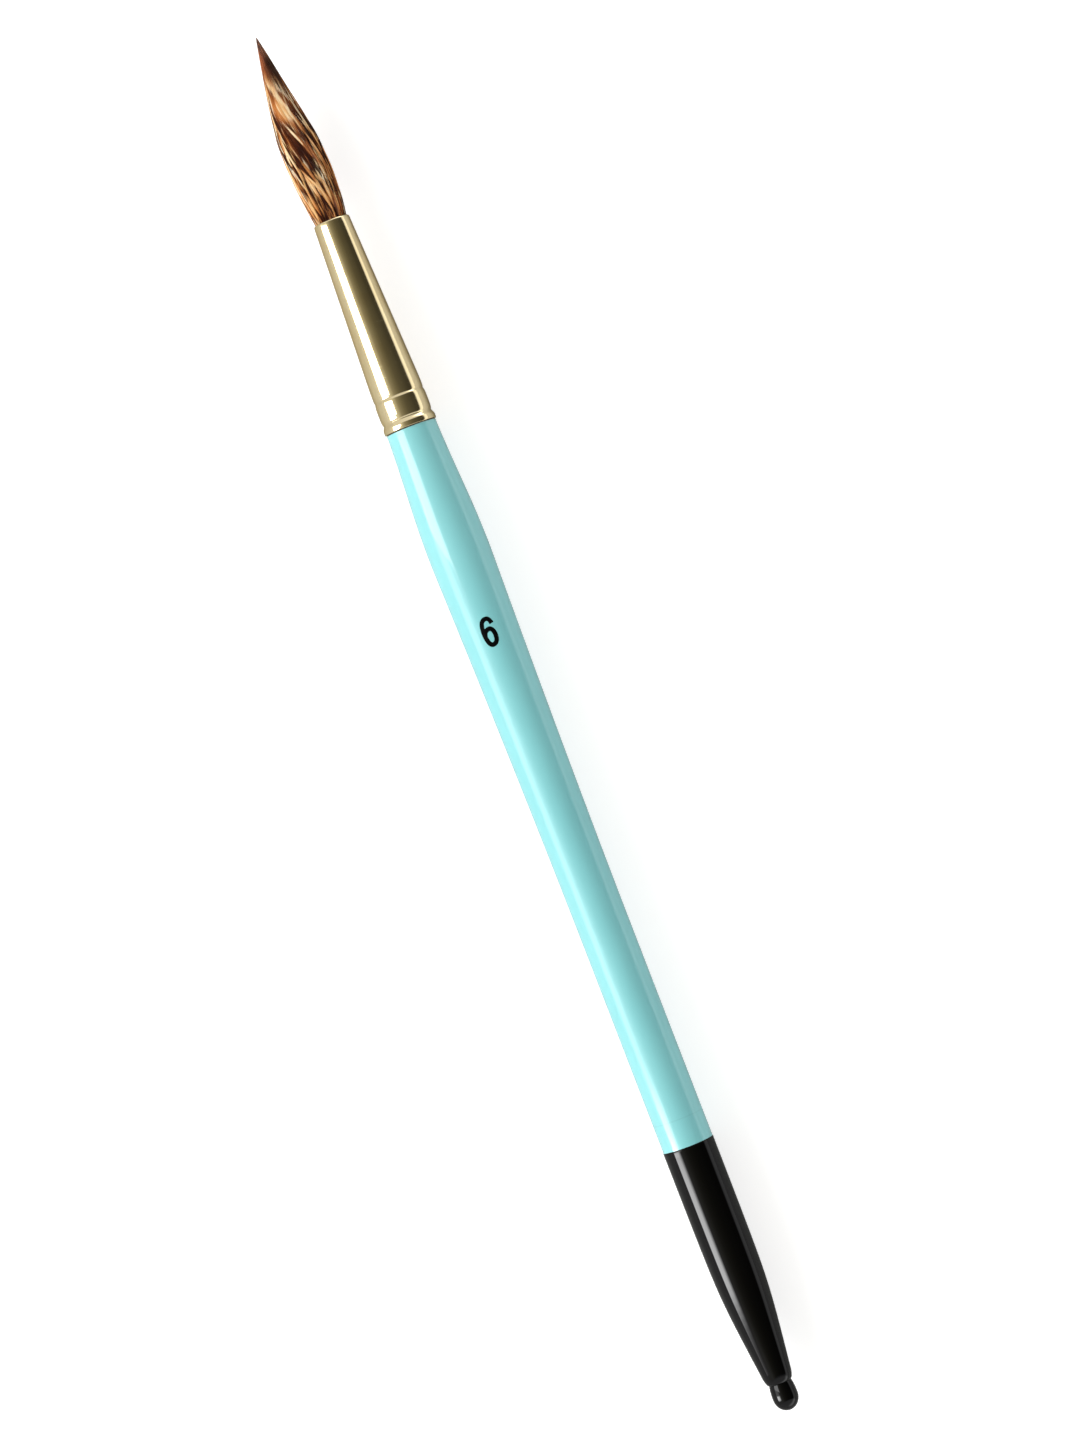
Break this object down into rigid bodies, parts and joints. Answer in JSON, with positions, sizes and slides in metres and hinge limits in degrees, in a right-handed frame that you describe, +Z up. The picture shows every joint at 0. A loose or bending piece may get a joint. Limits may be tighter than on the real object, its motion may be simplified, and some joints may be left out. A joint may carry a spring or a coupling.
{
  "type": "acrylic nail brush",
  "caption": "Round pointed hair brush for acrylic nail work, with a crimped brass ferrule and a lacquered wooden handle ending in a dipped tail with a bead.",
  "frame": {"origin": "on the surface the brush lies on, under the middle of its overall length", "axes": "+X along the brush's axis, towards the hair's point; +Z up from the surface it lies on; +Y across"},
  "size_m": [0.18, 0.0076, 0.0077],
  "materials": {
    "hair": "sable hair, cream to dark brown, with a silky sheen",
    "thread": "waxed thread",
    "cement": "cured epoxy",
    "brass": "polished pale brass",
    "glue": "cured glue film",
    "wood": "turned hardwood, under lacquer",
    "aqua_lacquer": "gloss aqua lacquer",
    "black_lacquer": "gloss black dip lacquer"
  },
  "bodies": {
    "root": {"hair_core": "hair", "hair_locks": "hair", "binding_thread": "thread", "root_cement": "cement", "ferrule": "brass", "tenon_glue": "glue", "handle_core": "wood", "aqua_lacquer": "aqua_lacquer", "black_dip": "black_lacquer"}
  },
  "joints": []
}
